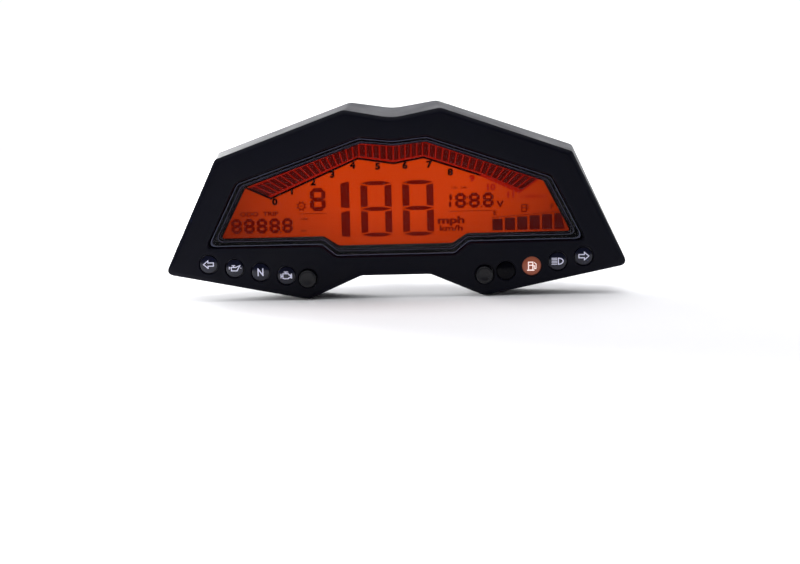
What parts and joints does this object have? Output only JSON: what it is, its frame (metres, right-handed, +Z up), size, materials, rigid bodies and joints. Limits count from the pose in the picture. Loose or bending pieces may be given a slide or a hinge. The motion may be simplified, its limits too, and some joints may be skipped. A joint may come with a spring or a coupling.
{
  "type": "motorcycle instrument cluster",
  "caption": "Hooded motorcycle instrument cluster: wide liquid-crystal display under a smoked-edge window, telltale lamps along both wings, push buttons, stud-mounted rear housing.",
  "frame": {"origin": "centre of the rear housing's back face", "axes": "+X to the rider's right, +Y forwards away from the rider, +Z up"},
  "size_m": [0.2144, 0.0755, 0.0897],
  "materials": {
    "shell": "fine grain",
    "button": "fine grain",
    "window": "clear polished",
    "mask": "gloss",
    "display": "lit display",
    "white_plastic": "matt",
    "light_guide": "clear polished",
    "board": "solder resist",
    "chip": "moulded",
    "capacitor_can": "bright",
    "rubber": "matt",
    "steel": "zinc plated",
    "pins": "plated",
    "lamp_lens": "smoked",
    "lamp_lens_lit": "lit amber"
  },
  "bodies": {
    "cluster": {"backlight_tray": "white_plastic", "breather_cap": "rubber", "button_boot_left": "rubber", "button_boot_right": "rubber", "connector_body": "chip", "connector_pins": "pins", "contact_strip_left": "rubber", "contact_strip_right": "rubber", "controller_chip": "chip", "display_mask": "mask", "filter_capacitor": "capacitor_can", "front_bezel": "shell", "housing_seal": "rubber", "lcd_diffuser": "white_plastic", "lcd_front_glass": "display", "lcd_rear_glass": "display", "led_engine": "white_plastic", "led_fuel": "white_plastic", "led_high_beam": "white_plastic", "led_left_turn": "white_plastic", "led_neutral": "white_plastic", "led_oil": "white_plastic", "led_right_turn": "white_plastic", "lens_engine": "lamp_lens", "lens_fuel": "lamp_lens_lit", "lens_high_beam": "lamp_lens", "lens_left_turn": "lamp_lens", "lens_neutral": "lamp_lens", "lens_oil": "lamp_lens", "lens_right_turn": "lamp_lens", "lens_spare": "lamp_lens", "light_box_left": "white_plastic", "light_box_right": "white_plastic", "light_guide": "light_guide", "main_board": "board", "mount_damper_left": "rubber", "mount_damper_right": "rubber", "mount_damper_top": "rubber", "mount_stud_left": "steel", "mount_stud_right": "steel", "mount_stud_top": "steel", "rear_housing": "shell", "shell_screw_1": "steel", "shell_screw_2": "steel", "shell_screw_3": "steel", "shell_screw_4": "steel", "shell_screw_5": "steel", "shell_screw_6": "steel", "shell_screw_7": "steel", "shell_screw_8": "steel", "switch_left": "chip", "switch_right": "chip", "voltage_regulator": "chip", "window_lens": "window"},
    "left_button": {"button_left": "button"},
    "right_button": {"button_right": "button"},
    "left_plunger": {"switch_plunger_left": "chip"},
    "right_plunger": {"switch_plunger_right": "chip"}
  },
  "joints": [
    {"name": "left_button_press", "type": "slide", "parent": "cluster", "child": "left_button", "axis": [0, 1, 0], "range_m": [0, 0.0012], "stiffness_N_per_m": 1500, "deforming": ["button_boot_left"]},
    {"name": "right_button_press", "type": "slide", "parent": "cluster", "child": "right_button", "axis": [0, 1, 0], "range_m": [0, 0.0012], "stiffness_N_per_m": 1500, "deforming": ["button_boot_right"]},
    {"name": "left_plunger_press", "type": "slide", "parent": "cluster", "child": "left_plunger", "axis": [0, 1, 0], "range_m": [0, 0.0012]},
    {"name": "right_plunger_press", "type": "slide", "parent": "cluster", "child": "right_plunger", "axis": [0, 1, 0], "range_m": [0, 0.0012]}
  ],
  "couplings": [
    {"joint": "left_plunger_press", "follows": "left_button_press", "ratio": 1},
    {"joint": "right_plunger_press", "follows": "right_button_press", "ratio": 1}
  ]
}
